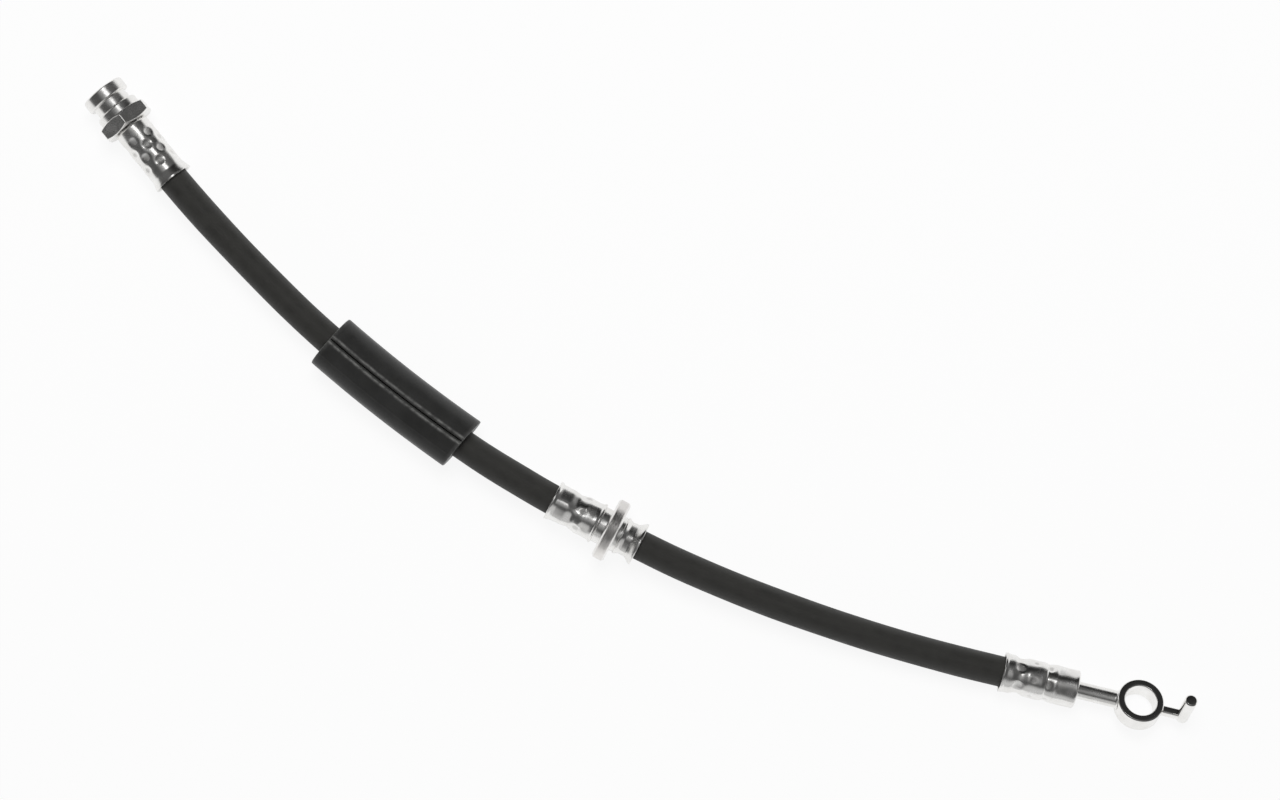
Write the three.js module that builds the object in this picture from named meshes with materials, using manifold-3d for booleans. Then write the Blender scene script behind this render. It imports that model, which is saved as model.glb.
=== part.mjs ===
// A brake hose that lies on a flat surface. One end has a threaded port, the other a banjo eye.
// A swaged collar near the middle seats in a bracket, and a split rubber sleeve guards the hose.
// Sizes are in millimetres and +Z is up. The origin is on the surface, below the middle of the part.

import * as THREE from "three";
import { mergeVertices } from "three/addons/utils/BufferGeometryUtils.js";
import Module from "manifold-3d";

const wasm = await Module();
wasm.setup();

// Clearance between pieces that touch, and the number of sides of round shapes
const GAP = 0.3;
const ROUND_SIDES = 24;
const SMALL_SIDES = 16;

// Hose
const HOSE_DIAMETER = 10.2;
const HOSE_BORE = 3.2;
const HOSE_SIDES = 12;
const HOSE_STEP = 20;
const HOSE_GRIP = 18;

// Insert tube inside each end of the hose
const INSERT_DIAMETER = 3.8;
const INSERT_START = 4;
const FLUID_BORE = 2.2;

// Ferrule of the port end
const PORT_FERRULE_LENGTH = 22.4;
const PORT_FERRULE_DIAMETER = 12.3;
const PORT_MOUTH_DIAMETER = 13.8;
const PORT_FERRULE_WALL = 1;
const PORT_MOUTH_FLARE = 2.6;

// Crimp rings of the port ferrule: every second ring is turned by half the angle between two jaws,
// and all of them by a small angle from the top.
// A ring's stations are shares of its width, from its middle.
const PORT_RINGS = 4;
const PORT_FIRST_RING = 7.2;
const PORT_RING_PITCH = 3.35;
const PORT_RING_WIDTH = 2.9;
const PORT_RING_DEPTH = 0.4;
const CRIMP_JAWS = 6;
const PORT_CRIMP_TURN = THREE.MathUtils.degToRad(8);
const RING_STATIONS = [-0.5, -0.2, 0.2, 0.5];

// Port fitting, from its spigot inside the ferrule to its open end
const SPIGOT_LENGTH = 3;
const HEX_FLATS = 17;
const HEX_LENGTH = 4.9;
const LAND_DIAMETER = 15;
const LAND_LENGTH = 3;
const CLIP_GROOVE_DIAMETER = 12.3;
const CLIP_GROOVE_LENGTH = 3.2;
const PORT_COLLAR_DIAMETER = 15.2;
const PORT_COLLAR_LENGTH = 4.2;
const SOCKET_DIAMETER = 9.2;
const SOCKET_DEPTH = 9.5;
const SEAT_HEIGHT = 1.8;
const SEAT_BASE_DIAMETER = 6.8;
const SEAT_TIP_DIAMETER = 3.6;
const EDGE_CHAMFER = 0.4;

// Bracket collar: a long tail, a clip groove, a flange, a short neck and a short tail
const TAIL_WALL = 0.9;
const LONG_TAIL_LENGTH = 17.3;
const LONG_TAIL_DIAMETER = 13.2;
const LONG_TAIL_MOUTH = 13.7;
const LONG_TAIL_END = 14.1;
const LONG_WAIST_START = 5.8;
const LONG_WAIST_LENGTH = 5.6;
const LONG_WAIST_DIAMETER = 12.1;
const COLLAR_GROOVE_LENGTH = 2.6;
const COLLAR_GROOVE_DIAMETER = 12.5;
const FLANGE_LENGTH = 4.3;
const FLANGE_DIAMETER = 21.4;
const NECK_LENGTH = 1.4;
const SHORT_TAIL_LENGTH = 7;
const SHORT_TAIL_LIP = 13.2;
const SHORT_WAIST_DIAMETER = 12.1;
const SHORT_TAIL_MOUTH = 14.8;
const COLLAR_FIT = 0.4;
const LIP_LENGTH = 0.6;
const WAIST_SLOPE = 1.2;
const WAIST_DENT = 0.25;

// Ferrule of the banjo end, with two waists
const BANJO_FERRULE_LENGTH = 25.6;
const BANJO_FERRULE_DIAMETER = 13;
const BANJO_MOUTH_DIAMETER = 13.5;
const BANJO_FERRULE_WALL = 0.9;
const BANJO_WAIST_DIAMETER = 11.7;
const BANJO_WAIST_STARTS = [3.4, 13];
const BANJO_WAIST_LENGTHS = [4.8, 4.6];
const BANJO_END_WALL = 1.2;

// Neck pipe, eye and locating pin
const NECK_PIPE_DIAMETER = 5.8;
const NECK_PIPE_LENGTH = 13.7;
const NECK_SHOULDER_DIAMETER = 8;
const EYE_DIAMETER = 15.7;
const EYE_BORE = 10.8;
const EYE_THICKNESS = 7;
const EYE_CHAMFER = 0.3;
const BORE_CHAMFER = 0.25;
const EYE_ROLL = THREE.MathUtils.degToRad(31);
const EYE_DRILLING = 2.6;
const PIN_REACH = 15.2;
const PIN_DIAMETER = 4.3;
const PIN_ABOVE_FACE = 8.3;
const PIN_FOOT = 1.9;
const BAR_DIAMETER = 3.1;

// Sleeve round the hose, with a slit along its top
const SLEEVE_START = 75.3;
const SLEEVE_LENGTH = 55.9;
const SLEEVE_DIAMETER = 19.3;
const SLEEVE_SLIT = 0.6;
const SLEEVE_LIP = 1.1;
const SLEEVE_TURN = THREE.MathUtils.degToRad(6);
const SLEEVE_STEP = 8;

// Height of each fitting's axis where it rests on the surface
const PORT_HEIGHT = HEX_FLATS / 2 / Math.cos(Math.PI / 6);
const COLLAR_HEIGHT = FLANGE_DIAMETER / 2;
const EYE_HEIGHT =
  (EYE_DIAMETER / 2 - EYE_CHAMFER) * Math.sin(EYE_ROLL) + (EYE_THICKNESS / 2) * Math.cos(EYE_ROLL);
const BANJO_HEIGHT = Math.max(EYE_HEIGHT, BANJO_MOUTH_DIAMETER / 2);

// The hose's middle line, from its end in the port ferrule to its end in the banjo ferrule
const HOSE_ROUTE = [
  [-191.9, 17.8, PORT_HEIGHT],
  [-173.3, 10.4, PORT_HEIGHT],
  [-157.5, 4.7, 9.8],
  [-134.6, -2.5, 9.8],
  [-111.4, -8.9, 9.8],
  [-87.7, -13.9, 9.8],
  [-63.9, -17.7, 9.8],
  [-39.3, -20.4, 10.1],
  [-23.2, -21.1, 10.5],
  [-10.5, -21.3, COLLAR_HEIGHT],
  [22, -20.3, COLLAR_HEIGHT],
  [37.5, -19.4, 10.4],
  [61.4, -16.8, 9.5],
  [85.1, -13.1, 8.5],
  [108.7, -8.5, 7.6],
  [132.1, -2.9, 7],
  [148.9, 1.7, BANJO_HEIGHT],
  [168.2, 7.1, BANJO_HEIGHT],
].map(([x, y, z]) => new THREE.Vector3(x, y, z));
const [PORT_END, PORT_MOUTH] = HOSE_ROUTE;
const [BANJO_MOUTH, BANJO_END] = HOSE_ROUTE.slice(-2);
const COLLAR_POINT = 9;
const [COLLAR_MOUTH, COLLAR_FAR_MOUTH] = HOSE_ROUTE.slice(COLLAR_POINT);

const zinc = { color: 0xb4b3ae, roughness: 0.28, metalness: 1 };
const rubber = { color: 0x2e2e2c, roughness: 0.75, metalness: 0 };

// Solids

function solidOf(geometry) {
  const bare = geometry.clone();
  bare.deleteAttribute("normal");
  bare.deleteAttribute("uv");
  const merged = mergeVertices(bare);
  return new wasm.Manifold(
    new wasm.Mesh({
      numProp: 3,
      vertProperties: merged.attributes.position.array,
      triVerts: new Uint32Array(merged.index.array),
    }),
  );
}

function geometryOf(solid) {
  const mesh = solid.getMesh();
  const geometry = new THREE.BufferGeometry();
  geometry.setAttribute("position", new THREE.BufferAttribute(mesh.vertProperties, 3));
  geometry.setIndex(new THREE.BufferAttribute(mesh.triVerts, 1));
  return geometry;
}

function pieceOf(name, geometry, finish) {
  const shown = geometry.index ? geometry.toNonIndexed() : geometry;
  shown.computeVertexNormals();
  const piece = new THREE.Mesh(shown, new THREE.MeshStandardMaterial(finish));
  piece.name = name;
  return piece;
}

// A body turned about the x axis. Its outline is pairs of x and radius that run clockwise.
function turned(outline, sides = ROUND_SIDES) {
  const points = outline.map(([x, radius]) => new THREE.Vector2(radius, x));
  return new THREE.LatheGeometry(points, sides).rotateZ(-Math.PI / 2);
}

// A tube turned about the x axis, from the outlines of its outside and its bore.
function turnedTube(outside, bore, sides) {
  return turned([...outside, ...bore.toReversed(), outside[0]], sides);
}

// Presses jaw marks into the outside: each ring has a middle, a width, a depth and a turn.
function crimped(geometry, rings) {
  const place = geometry.attributes.position;
  for (let i = 0; i < place.count; i++) {
    const radius = Math.hypot(place.getY(i), place.getZ(i));
    const angle = Math.atan2(place.getY(i), place.getZ(i));
    let pressed = radius;
    for (const ring of rings) {
      const off = Math.abs(place.getX(i) - ring.middle) / (ring.width / 2);
      const jaw = (1 + Math.cos(CRIMP_JAWS * angle + ring.turn)) / 2;
      if (off < 1) pressed -= ring.depth * jaw * (1 - off * off);
    }
    place.setY(i, (place.getY(i) * pressed) / radius);
    place.setZ(i, (place.getZ(i) * pressed) / radius);
  }
  return geometry;
}

// A frame at one point whose x axis points to another point, turned about that axis by a roll.
function frameAlong(from, to, roll = 0) {
  const ahead = to.clone().sub(from).normalize();
  const left = new THREE.Vector3(0, 0, 1).cross(ahead).normalize();
  const up = ahead.clone().cross(left);
  const frame = new THREE.Group();
  frame.matrix.makeBasis(ahead, left, up).setPosition(from);
  frame.matrix.multiply(new THREE.Matrix4().makeRotationX(roll));
  frame.matrix.decompose(frame.position, frame.quaternion, frame.scale);
  return frame;
}

const inFrame = (geometry, frame) => geometry.clone().applyMatrix4(frame.matrix);

// Hose route

const hoseLine = new THREE.CatmullRomCurve3(HOSE_ROUTE, false, "centripetal");

// A stretch of the hose's middle line, from one distance along it to another.
class HoseStretch extends THREE.Curve {
  constructor(start, end) {
    super();
    this.start = start / hoseLine.getLength();
    this.end = end / hoseLine.getLength();
  }
  getPoint(share, target) {
    return hoseLine.getPointAt(this.start + (this.end - this.start) * share, target);
  }
}

// Port end

// The outside of the port ferrule, with a few stations across each crimp ring.
function portFerruleOutside() {
  const mouth = PORT_MOUTH_DIAMETER / 2;
  const radius = PORT_FERRULE_DIAMETER / 2;
  const rings = portRings().flatMap(({ middle, width }) =>
    RING_STATIONS.map((share) => [middle + share * width, radius]),
  );
  return [
    [0, mouth],
    [LIP_LENGTH, mouth],
    [LIP_LENGTH + PORT_MOUTH_FLARE, radius],
    ...rings,
    [PORT_FERRULE_LENGTH - EDGE_CHAMFER, radius],
    [PORT_FERRULE_LENGTH, radius - EDGE_CHAMFER],
  ];
}

function portRings() {
  return Array.from({ length: PORT_RINGS }, (_, i) => ({
    middle: PORT_FIRST_RING + i * PORT_RING_PITCH,
    width: PORT_RING_WIDTH,
    depth: PORT_RING_DEPTH,
    turn: (i % 2) * Math.PI + CRIMP_JAWS * PORT_CRIMP_TURN,
  }));
}

function portFerruleBore() {
  const radius = PORT_FERRULE_DIAMETER / 2 - PORT_FERRULE_WALL;
  return [
    [0, PORT_MOUTH_DIAMETER / 2 - PORT_FERRULE_WALL],
    [LIP_LENGTH + PORT_MOUTH_FLARE, radius],
    [PORT_FERRULE_LENGTH, radius],
  ];
}

// The insert, spigot, land, clip groove and collar are turned. The hexagon is joined on.
function portFitting() {
  const hexStart = PORT_FERRULE_LENGTH + GAP;
  const hexEnd = hexStart + HEX_LENGTH;
  const spigotStart = PORT_FERRULE_LENGTH - SPIGOT_LENGTH;
  const landEnd = hexEnd + LAND_LENGTH;
  const grooveEnd = landEnd + CLIP_GROOVE_LENGTH;
  const tip = grooveEnd + PORT_COLLAR_LENGTH;
  const spigot = PORT_FERRULE_DIAMETER / 2 - PORT_FERRULE_WALL - GAP;
  const land = LAND_DIAMETER / 2;
  const groove = CLIP_GROOVE_DIAMETER / 2;
  const collar = PORT_COLLAR_DIAMETER / 2;
  const hexMiddle = hexStart + HEX_LENGTH / 2;
  const body = turned([
    [INSERT_START, 0],
    [INSERT_START, INSERT_DIAMETER / 2],
    [spigotStart, INSERT_DIAMETER / 2],
    [spigotStart, spigot],
    [hexMiddle, spigot],
    [hexMiddle, land],
    [landEnd - EDGE_CHAMFER, land],
    [landEnd, land - EDGE_CHAMFER],
    [landEnd, groove],
    [grooveEnd, groove],
    [grooveEnd, collar - EDGE_CHAMFER],
    [grooveEnd + EDGE_CHAMFER, collar],
    [tip - EDGE_CHAMFER, collar],
    [tip, collar - EDGE_CHAMFER],
    [tip, 0],
  ]);
  return solidOf(body).add(hexagon(hexStart, hexEnd)).subtract(portHollow(tip));
}

// A hexagon with a corner up, whose end faces are turned down to its width across flats.
function hexagon(start, end) {
  const corner = HEX_FLATS / 2 / Math.cos(Math.PI / 6);
  const flat = HEX_FLATS / 2;
  const slope = (corner - flat) * Math.tan(Math.PI / 6);
  const bar = new THREE.CylinderGeometry(corner, corner, end - start, 6)
    .rotateZ(-Math.PI / 2)
    .translate((start + end) / 2, 0, 0);
  const round = turned([
    [start, 0],
    [start, flat],
    [start + slope, corner + EDGE_CHAMFER],
    [end - slope, corner + EDGE_CHAMFER],
    [end, flat],
    [end, 0],
  ]);
  return solidOf(bar).intersect(solidOf(round));
}

// The fluid bore and the threaded socket, with a cone at its bottom that the pipe's flare seals on.
function portHollow(tip) {
  const seat = tip - SOCKET_DEPTH;
  const bore = FLUID_BORE / 2;
  const socket = SOCKET_DIAMETER / 2;
  return solidOf(
    turned([
      [0, 0],
      [0, bore],
      [seat + SEAT_HEIGHT, bore],
      [seat + SEAT_HEIGHT, SEAT_TIP_DIAMETER / 2],
      [seat, SEAT_BASE_DIAMETER / 2],
      [seat, socket],
      [tip - EDGE_CHAMFER, socket],
      [tip, socket + EDGE_CHAMFER],
      [tip + GAP, socket + EDGE_CHAMFER],
      [tip + GAP, 0],
    ]),
  );
}

// Bracket collar

// A waist between two stations, as a step down, a floor and a step up.
function waist(start, length, outer, inner, slope = WAIST_SLOPE) {
  return [
    [start, outer],
    [start + slope, inner],
    [start + length - slope, inner],
    [start + length, outer],
  ];
}

const grooveStart = LONG_TAIL_LENGTH;
const flangeStart = grooveStart + COLLAR_GROOVE_LENGTH;
const flangeEnd = flangeStart + FLANGE_LENGTH;
const shortTailStart = flangeEnd + NECK_LENGTH;
const collarLength = shortTailStart + SHORT_TAIL_LENGTH;

function longTail() {
  const tail = LONG_TAIL_DIAMETER / 2;
  return [
    [0, LONG_TAIL_MOUTH / 2],
    [LIP_LENGTH, LONG_TAIL_MOUTH / 2],
    [2 * LIP_LENGTH, tail],
    ...waist(LONG_WAIST_START, LONG_WAIST_LENGTH, tail, LONG_WAIST_DIAMETER / 2),
    [LONG_TAIL_LENGTH - 2 * LIP_LENGTH, tail],
  ];
}

function shortTail() {
  const floor = SHORT_WAIST_DIAMETER / 2;
  return [
    [shortTailStart + LIP_LENGTH + WAIST_SLOPE, floor],
    [collarLength - 2 * WAIST_SLOPE - LIP_LENGTH, floor],
    [collarLength - LIP_LENGTH, SHORT_TAIL_MOUTH / 2],
    [collarLength, SHORT_TAIL_MOUTH / 2],
  ];
}

function collarOutside() {
  const end = LONG_TAIL_END / 2;
  const groove = COLLAR_GROOVE_DIAMETER / 2;
  const flange = FLANGE_DIAMETER / 2;
  const lip = SHORT_TAIL_LIP / 2;
  return [
    ...longTail(),
    [grooveStart - LIP_LENGTH, end],
    [grooveStart, end],
    [grooveStart, groove],
    [flangeStart, groove],
    [flangeStart, flange - EDGE_CHAMFER],
    [flangeStart + EDGE_CHAMFER, flange],
    [flangeEnd - EDGE_CHAMFER, flange],
    [flangeEnd, flange - EDGE_CHAMFER],
    [flangeEnd, groove],
    [shortTailStart, groove],
    [shortTailStart, lip],
    [shortTailStart + LIP_LENGTH, lip],
    ...shortTail(),
  ];
}

function collarBore() {
  const thinner = ([x, radius]) => [x, radius - TAIL_WALL];
  const straight = HOSE_DIAMETER / 2 + COLLAR_FIT;
  return [
    ...longTail().map(thinner),
    [grooveStart, straight],
    [shortTailStart, straight],
    ...shortTail().map(thinner),
  ];
}

function collarRings() {
  return [
    {
      middle: LONG_WAIST_START + LONG_WAIST_LENGTH / 2,
      width: LONG_WAIST_LENGTH,
      depth: WAIST_DENT,
      turn: 0,
    },
  ];
}

// Banjo end

function banjoFerruleOutside() {
  const radius = BANJO_FERRULE_DIAMETER / 2;
  const mouth = BANJO_MOUTH_DIAMETER / 2;
  const waists = BANJO_WAIST_STARTS.flatMap((start, i) =>
    waist(start, BANJO_WAIST_LENGTHS[i], radius, BANJO_WAIST_DIAMETER / 2),
  );
  return [
    [0, mouth],
    [LIP_LENGTH, mouth],
    [2 * LIP_LENGTH, radius],
    ...waists,
    [BANJO_FERRULE_LENGTH - EDGE_CHAMFER, radius],
    [BANJO_FERRULE_LENGTH, radius - EDGE_CHAMFER],
  ];
}

// The bore keeps the wall's thickness and ends at a wall with a hole for the neck pipe.
function banjoFerruleBore() {
  const endWall = BANJO_FERRULE_LENGTH - BANJO_END_WALL;
  const hole = NECK_PIPE_DIAMETER / 2 + GAP;
  return [
    ...banjoFerruleOutside()
      .slice(0, -2)
      .map(([x, radius]) => [x, radius - BANJO_FERRULE_WALL]),
    [endWall, BANJO_FERRULE_DIAMETER / 2 - BANJO_FERRULE_WALL],
    [endWall, hole],
    [BANJO_FERRULE_LENGTH, hole],
  ];
}

function banjoRings() {
  return BANJO_WAIST_STARTS.map((start, i) => ({
    middle: start + BANJO_WAIST_LENGTHS[i] / 2,
    width: BANJO_WAIST_LENGTHS[i],
    depth: WAIST_DENT,
    turn: i * Math.PI,
  }));
}

const eyeCentre = BANJO_FERRULE_LENGTH + NECK_PIPE_LENGTH + EYE_DIAMETER / 2;

// A body turned about the eye's axis, from pairs of height above the eye's middle and radius.
function turnedAboutEye(outline, sides = ROUND_SIDES) {
  const points = outline.map(([height, radius]) => new THREE.Vector2(radius, height));
  return new THREE.LatheGeometry(points, sides).rotateX(Math.PI / 2).translate(eyeCentre, 0, 0);
}

// What a piece that meets the eye's rim is cut back by.
function eyeRoom() {
  const radius = EYE_DIAMETER / 2 + GAP;
  const height = EYE_THICKNESS;
  return solidOf(
    turnedAboutEye([
      [-height, 0],
      [-height, radius],
      [height, radius],
      [height, 0],
    ]),
  );
}

// The neck pipe carries a shoulder behind the ferrule's end wall and the insert in the hose.
function banjoNeck() {
  const shoulderEnd = BANJO_FERRULE_LENGTH - BANJO_END_WALL - GAP;
  const shoulderStart = HOSE_GRIP + 2 * GAP;
  const bore = FLUID_BORE / 2;
  const outside = [
    [INSERT_START, INSERT_DIAMETER / 2],
    [shoulderStart, INSERT_DIAMETER / 2],
    [shoulderStart, NECK_SHOULDER_DIAMETER / 2],
    [shoulderEnd, NECK_SHOULDER_DIAMETER / 2],
    [shoulderEnd, NECK_PIPE_DIAMETER / 2],
    [eyeCentre - EYE_BORE / 2, NECK_PIPE_DIAMETER / 2],
  ];
  const inside = [
    [INSERT_START, bore],
    [eyeCentre - EYE_BORE / 2, bore],
  ];
  return solidOf(turnedTube(outside, inside, SMALL_SIDES)).subtract(eyeRoom());
}

// The eye is a ring with chamfered rims and a drilling that brings the fluid from the neck.
function banjoEye() {
  const outer = EYE_DIAMETER / 2;
  const inner = EYE_BORE / 2;
  const top = EYE_THICKNESS / 2;
  const rim = [
    [top, inner + BORE_CHAMFER],
    [top - BORE_CHAMFER, inner],
  ];
  const shoulder = [
    [top - EYE_CHAMFER, outer],
    [top, outer - EYE_CHAMFER],
  ];
  const mirrored = (outline) => outline.map(([height, radius]) => [-height, radius]).toReversed();
  const outline = [...mirrored(shoulder), ...shoulder, ...rim, ...mirrored(rim)];
  const ring = solidOf(turnedAboutEye([...outline, outline[0]]));
  const drilling = turned(
    [
      [eyeCentre - EYE_DIAMETER, 0],
      [eyeCentre - EYE_DIAMETER, EYE_DRILLING / 2],
      [eyeCentre, EYE_DRILLING / 2],
      [eyeCentre, 0],
    ],
    SMALL_SIDES,
  );
  return ring.subtract(solidOf(drilling));
}

// A bar from the eye's rim that carries a round pin, upright on the eye's upper side.
function locatingPin() {
  const radius = PIN_DIAMETER / 2;
  const top = EYE_THICKNESS / 2 + PIN_ABOVE_FACE;
  const shaft = turnedAboutEye(
    [
      [-PIN_FOOT, 0],
      [-PIN_FOOT, radius - EDGE_CHAMFER],
      [EDGE_CHAMFER - PIN_FOOT, radius],
      [top - EDGE_CHAMFER, radius],
      [top, radius - EDGE_CHAMFER],
      [top, 0],
    ],
    SMALL_SIDES,
  ).translate(PIN_REACH, 0, 0);
  const bar = new THREE.CylinderGeometry(BAR_DIAMETER / 2, BAR_DIAMETER / 2, PIN_REACH, SMALL_SIDES)
    .rotateZ(-Math.PI / 2)
    .translate(eyeCentre + PIN_REACH / 2, 0, 0);
  return solidOf(bar).add(solidOf(shaft)).subtract(eyeRoom());
}

// Hose and sleeve

function hoseTube() {
  const section = new THREE.Shape().absarc(0, 0, HOSE_DIAMETER / 2, 0, 2 * Math.PI);
  section.holes.push(new THREE.Path().absarc(0, 0, HOSE_BORE / 2, 0, 2 * Math.PI, true));
  return new THREE.ExtrudeGeometry(section, {
    curveSegments: HOSE_SIDES / 2,
    steps: Math.round(hoseLine.getLength() / HOSE_STEP),
    extrudePath: hoseLine,
  });
}

// What a ferrule squeezes off the hose, what its insert takes up and what lies past the hose's end.
function squeezedEnd(bore, spare) {
  const inside = bore.filter(([x]) => x < HOSE_GRIP).map(([x, radius]) => [x, radius - spare]);
  const [, last] = inside.at(-1);
  return turned([
    [INSERT_START - GAP, 0],
    [INSERT_START - GAP, INSERT_DIAMETER / 2 + GAP],
    [HOSE_GRIP, INSERT_DIAMETER / 2 + GAP],
    [HOSE_GRIP, last],
    ...inside.toReversed(),
    [0, HOSE_DIAMETER],
    [2 * HOSE_GRIP, HOSE_DIAMETER],
    [2 * HOSE_GRIP, 0],
  ]);
}

// What the bracket collar squeezes off the hose: more where jaws pressed its long tail.
function squeezedMiddle() {
  const dentAt = (x) => (x < LONG_TAIL_LENGTH ? WAIST_DENT : 0);
  const outside = [
    [0, HOSE_DIAMETER],
    [collarLength, HOSE_DIAMETER],
  ];
  const bore = collarBore().map(([x, radius]) => [x, radius - GAP - dentAt(x)]);
  return turnedTube(outside, bore);
}

function hose(portFrame, collarFrame, banjoFrame) {
  const cut = (geometry, frame) => solidOf(inFrame(geometry, frame));
  return solidOf(hoseTube())
    .subtract(cut(squeezedEnd(portFerruleBore(), GAP), portFrame))
    .subtract(cut(squeezedMiddle(), collarFrame))
    .subtract(cut(squeezedEnd(banjoFerruleBore(), GAP + WAIST_DENT), banjoFrame));
}

// A ring with a slit. The section's -x side becomes the sleeve's top.
function sleeveSection() {
  const outer = SLEEVE_DIAMETER / 2;
  const inner = HOSE_DIAMETER / 2 + GAP;
  const half = SLEEVE_SLIT / 2;
  const outerAngle = Math.asin((half + SLEEVE_LIP) / outer);
  const innerAngle = Math.asin(half / inner);
  const corner = Math.sqrt(outer * outer - half * half);
  const section = new THREE.Shape();
  section.absarc(0, 0, outer, outerAngle, -outerAngle, false);
  section.quadraticCurveTo(corner, -half, corner - SLEEVE_LIP, -half);
  section.absarc(0, 0, inner, -innerAngle, innerAngle, true);
  section.lineTo(corner - SLEEVE_LIP, half);
  section.quadraticCurveTo(corner, half, outer * Math.cos(outerAngle), half + SLEEVE_LIP);
  const middle = new THREE.Vector2();
  const turn = Math.PI - SLEEVE_TURN;
  const points = section.getPoints(SMALL_SIDES / 2);
  return new THREE.Shape(points.map((point) => point.rotateAround(middle, turn)));
}

function sleeve() {
  const start = PORT_END.distanceTo(PORT_MOUTH) + SLEEVE_START;
  return new THREE.ExtrudeGeometry(sleeveSection(), {
    steps: Math.round(SLEEVE_LENGTH / SLEEVE_STEP),
    extrudePath: new HoseStretch(start, start + SLEEVE_LENGTH),
  });
}

// Assembly

const portFrame = frameAlong(PORT_MOUTH, PORT_END);
const collarFrame = frameAlong(COLLAR_MOUTH, COLLAR_FAR_MOUTH);
const banjoFrame = frameAlong(BANJO_MOUTH, BANJO_END, -EYE_ROLL);

const portFerrule = crimped(turnedTube(portFerruleOutside(), portFerruleBore()), portRings());
const bracketCollar = crimped(turnedTube(collarOutside(), collarBore()), collarRings());
const banjoFerrule = crimped(turnedTube(banjoFerruleOutside(), banjoFerruleBore()), banjoRings());
const hoseSolid = hose(portFrame, collarFrame, banjoFrame);

portFrame.add(
  pieceOf("port_fitting", geometryOf(portFitting()), zinc),
  pieceOf("port_ferrule", portFerrule, zinc),
);
collarFrame.add(pieceOf("bracket_collar", bracketCollar, zinc));
banjoFrame.add(
  pieceOf("banjo_ferrule", banjoFerrule, zinc),
  pieceOf("banjo_neck", geometryOf(banjoNeck()), zinc),
  pieceOf("banjo_eye", geometryOf(banjoEye()), zinc),
  pieceOf("locating_pin", geometryOf(locatingPin()), zinc),
);

const brakeHose = new THREE.Group();
brakeHose.add(portFrame, collarFrame, banjoFrame);
brakeHose.add(pieceOf("hose", geometryOf(hoseSolid), rubber));
brakeHose.add(pieceOf("protective_sleeve", sleeve(), rubber));

export default brakeHose;
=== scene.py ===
import math

import bmesh
import bpy
import numpy as np
from mathutils import Matrix, Vector


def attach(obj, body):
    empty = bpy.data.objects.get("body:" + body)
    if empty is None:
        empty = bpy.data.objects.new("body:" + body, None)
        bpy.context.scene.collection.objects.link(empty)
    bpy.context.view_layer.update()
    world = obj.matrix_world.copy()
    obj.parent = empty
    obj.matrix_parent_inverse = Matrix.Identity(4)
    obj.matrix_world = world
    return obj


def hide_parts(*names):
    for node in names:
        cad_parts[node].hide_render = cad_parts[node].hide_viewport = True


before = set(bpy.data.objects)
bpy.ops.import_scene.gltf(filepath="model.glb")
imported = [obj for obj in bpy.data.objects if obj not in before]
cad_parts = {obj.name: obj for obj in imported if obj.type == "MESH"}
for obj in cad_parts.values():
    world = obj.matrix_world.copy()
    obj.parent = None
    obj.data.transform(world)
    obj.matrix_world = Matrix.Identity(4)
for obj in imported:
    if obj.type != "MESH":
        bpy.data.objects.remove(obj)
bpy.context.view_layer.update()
scene = bpy.context.scene

# Sizes are in millimetres, as in the part's source, and become metres when a mesh is made.
MM = 0.001
# The room between neighbouring pieces
GAP = 0.3

# Camera: straight down, with the part's long side across the picture

CAMERA_PLACE = (-0.0013, 0.0220, 1.246)
CAMERA_TURN = math.radians(29.2)
CAMERA_LENS, SENSOR_WIDTH = 104.06, 36

camera_data = bpy.data.cameras.new("camera")
camera_data.lens = CAMERA_LENS
camera_data.sensor_width = SENSOR_WIDTH
camera_data.clip_start = 0.01
camera = bpy.data.objects.new("camera", camera_data)
camera.location = CAMERA_PLACE
camera.rotation_euler = (0, 0, CAMERA_TURN)
scene.collection.objects.link(camera)
scene.camera = camera

# The hose's middle line

HEX_FLATS = 17
PORT_HEIGHT = HEX_FLATS / 2 / math.cos(math.pi / 6)
COLLAR_HEIGHT = 10.7
BANJO_HEIGHT = 6.89
HOSE_ROUTE = np.array([
    [-191.9, 17.8, PORT_HEIGHT],
    [-173.3, 10.4, PORT_HEIGHT],
    [-157.5, 4.7, 9.8],
    [-134.6, -2.5, 9.8],
    [-111.4, -8.9, 9.8],
    [-87.7, -13.9, 9.8],
    [-63.9, -17.7, 9.8],
    [-39.3, -20.4, 10.1],
    [-23.2, -21.1, 10.5],
    [-10.5, -21.3, COLLAR_HEIGHT],
    [22, -20.3, COLLAR_HEIGHT],
    [37.5, -19.4, 10.4],
    [61.4, -16.8, 9.5],
    [85.1, -13.1, 8.5],
    [108.7, -8.5, 7.6],
    [132.1, -2.9, 7],
    [148.9, 1.7, BANJO_HEIGHT],
    [168.2, 7.1, BANJO_HEIGHT],
])
PORT_END, PORT_MOUTH = HOSE_ROUTE[0], HOSE_ROUTE[1]
COLLAR_MOUTH, COLLAR_FAR_MOUTH = HOSE_ROUTE[9], HOSE_ROUTE[10]
BANJO_MOUTH, BANJO_END = HOSE_ROUTE[-2], HOSE_ROUTE[-1]


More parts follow.
